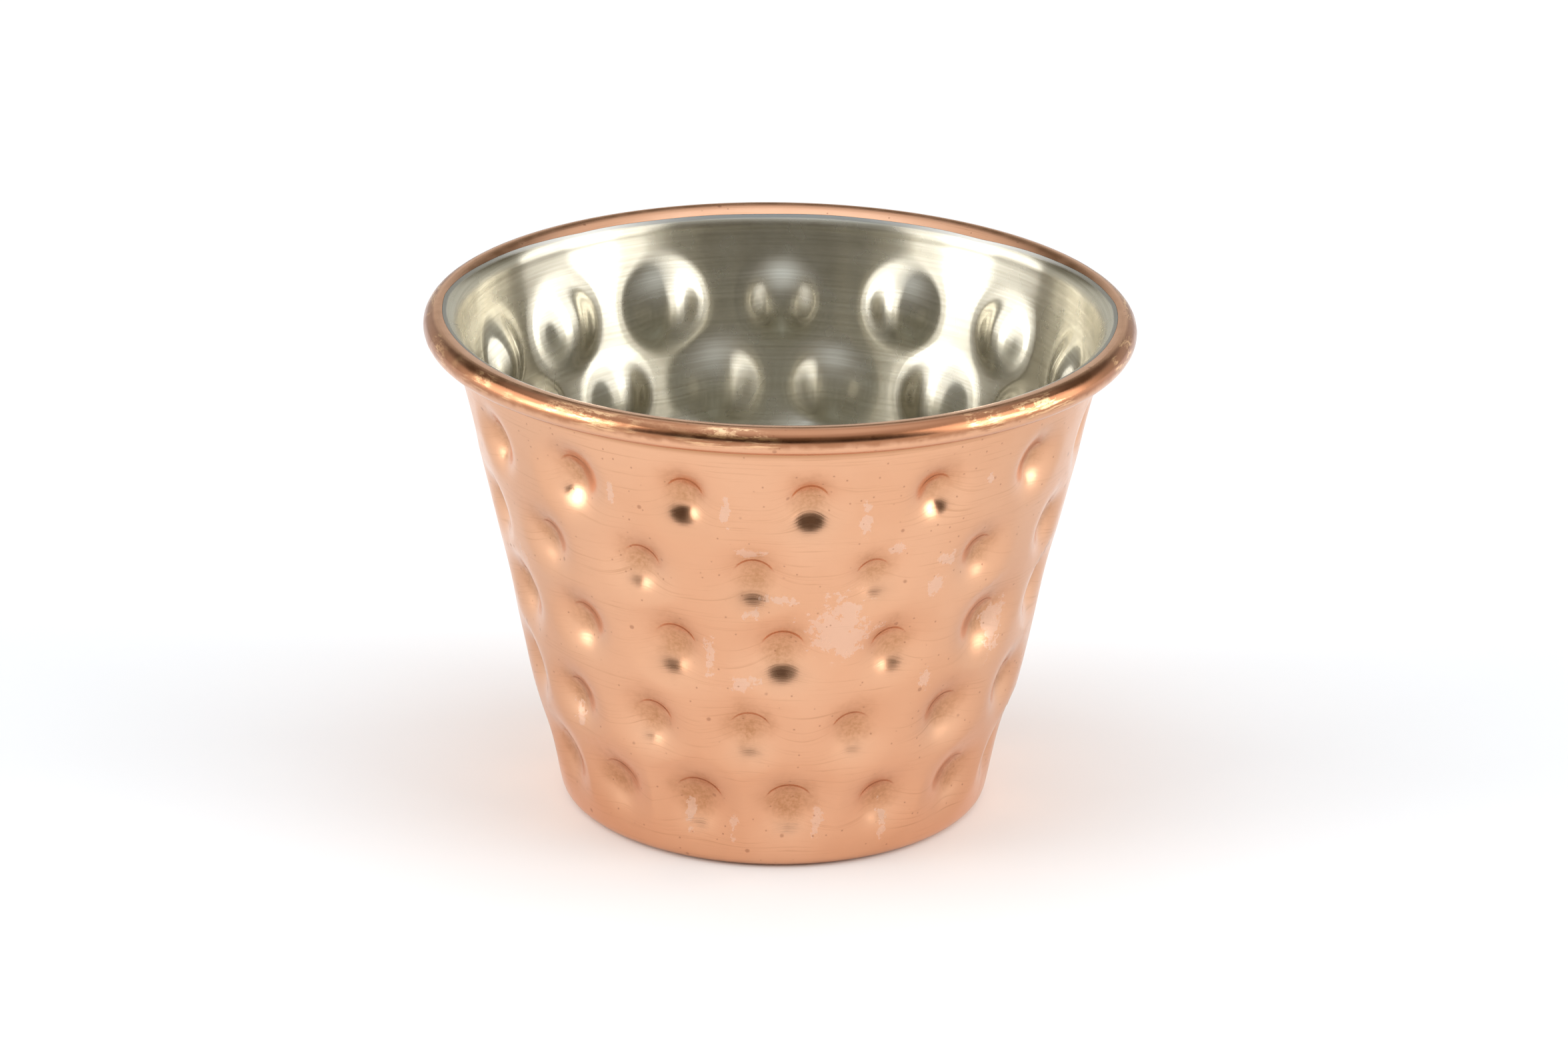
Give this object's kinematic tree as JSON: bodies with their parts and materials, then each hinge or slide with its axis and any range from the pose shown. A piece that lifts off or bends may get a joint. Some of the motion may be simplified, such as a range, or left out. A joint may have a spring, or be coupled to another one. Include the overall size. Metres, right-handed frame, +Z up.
{
  "type": "hammered sauce cup",
  "caption": "Small tapered open cup of steel, copper plated outside, with rows of hammered dents, a flat base and a rolled rim.",
  "frame": {"origin": "centre of the underside, which stands on the surface", "axes": "+Z up along the cup's axis, out of its mouth; -Y towards the viewer; +X to the viewer's right"},
  "size_m": [0.062, 0.062, 0.0448],
  "materials": {
    "copper": "satin copper plating under a flaking clear lacquer",
    "steel": "stainless steel, brushed round the cup"
  },
  "bodies": {
    "root": {"copper_plating": "copper", "steel_cup": "steel"}
  },
  "joints": []
}
